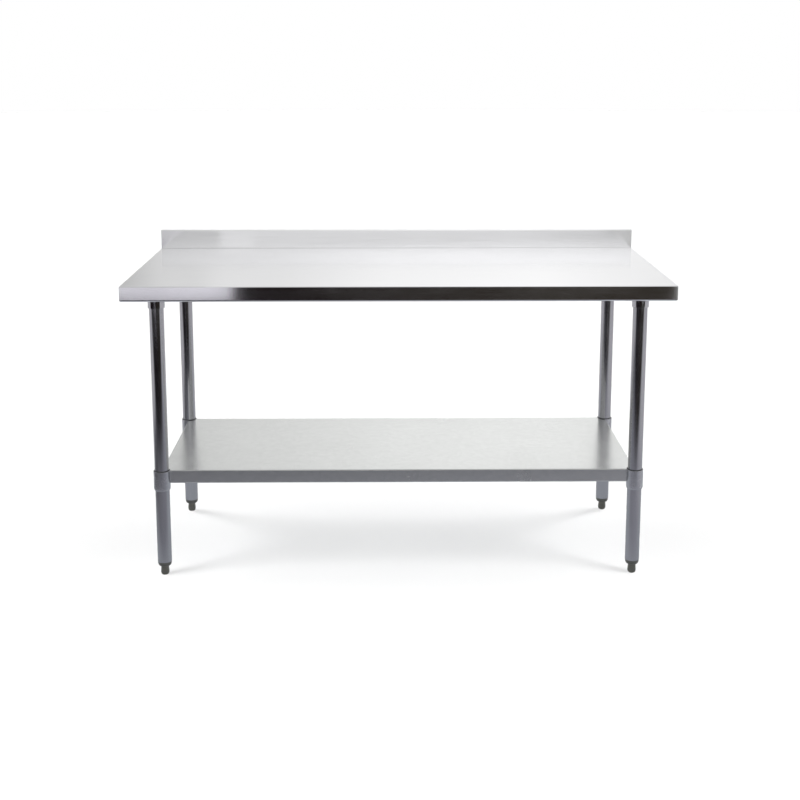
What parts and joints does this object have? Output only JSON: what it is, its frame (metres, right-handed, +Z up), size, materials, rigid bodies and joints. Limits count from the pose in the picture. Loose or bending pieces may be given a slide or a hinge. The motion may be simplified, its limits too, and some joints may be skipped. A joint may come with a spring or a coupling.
{
  "type": "stainless work table",
  "caption": "Free-standing stainless work table with a folded top and low rear upstand, round tube legs on bullet feet, and a height-adjustable galvanised undershelf.",
  "frame": {"origin": "centre of the table's footprint, on the floor", "axes": "+X along the table's length, +Y from the front apron to the rear upstand, +Z up"},
  "size_m": [1.5, 0.7, 0.908],
  "materials": {
    "work_top": "brushed stainless sheet, grain along the table's length",
    "channels": "galvanised sheet",
    "fasteners": "zinc plated steel",
    "set_screws": "black oxide steel",
    "sockets": "satin cast aluminium",
    "legs": "galvanised tube, semi-gloss",
    "leg_inserts": "moulded grey plastic",
    "feet": "moulded dark grey plastic",
    "undershelf": "galvanised sheet with a faint spangle",
    "shelf_channel": "galvanised sheet",
    "collars": "satin cast aluminium"
  },
  "bodies": {
    "table_frame": {"work_top": "work_top", "front_hat_channel": "channels", "rear_hat_channel": "channels", "left_cross_channel": "channels", "right_cross_channel": "channels", "channel_studs": "fasteners", "channel_nuts": "fasteners", "socket_front_left": "sockets", "socket_front_right": "sockets", "socket_rear_left": "sockets", "socket_rear_right": "sockets", "socket_bolts": "fasteners", "socket_nuts": "fasteners", "socket_set_screws": "set_screws", "leg_front_left": "legs", "leg_front_right": "legs", "leg_rear_left": "legs", "leg_rear_right": "legs", "insert_front_left": "leg_inserts", "insert_front_right": "leg_inserts", "insert_rear_left": "leg_inserts", "insert_rear_right": "leg_inserts"},
    "shelf": {"undershelf": "undershelf", "shelf_hat_channel": "shelf_channel", "collar_front_left": "collars", "collar_front_right": "collars", "collar_rear_left": "collars", "collar_rear_right": "collars", "collar_set_screws": "set_screws"},
    "foot_front_left": {"foot_front_left": "feet"},
    "foot_front_right": {"foot_front_right": "feet"},
    "foot_rear_left": {"foot_rear_left": "feet"},
    "foot_rear_right": {"foot_rear_right": "feet"}
  },
  "joints": [
    {"name": "shelf_height", "type": "slide", "parent": "table_frame", "child": "shelf", "axis": [0, 0, 1], "range_m": [-0.18, 0.4]},
    {"name": "foot_front_left_height", "type": "slide", "parent": "table_frame", "child": "foot_front_left", "axis": [0, 0, -1], "range_m": [0, 0.025]},
    {"name": "foot_front_right_height", "type": "slide", "parent": "table_frame", "child": "foot_front_right", "axis": [0, 0, -1], "range_m": [0, 0.025]},
    {"name": "foot_rear_left_height", "type": "slide", "parent": "table_frame", "child": "foot_rear_left", "axis": [0, 0, -1], "range_m": [0, 0.025]},
    {"name": "foot_rear_right_height", "type": "slide", "parent": "table_frame", "child": "foot_rear_right", "axis": [0, 0, -1], "range_m": [0, 0.025]}
  ]
}
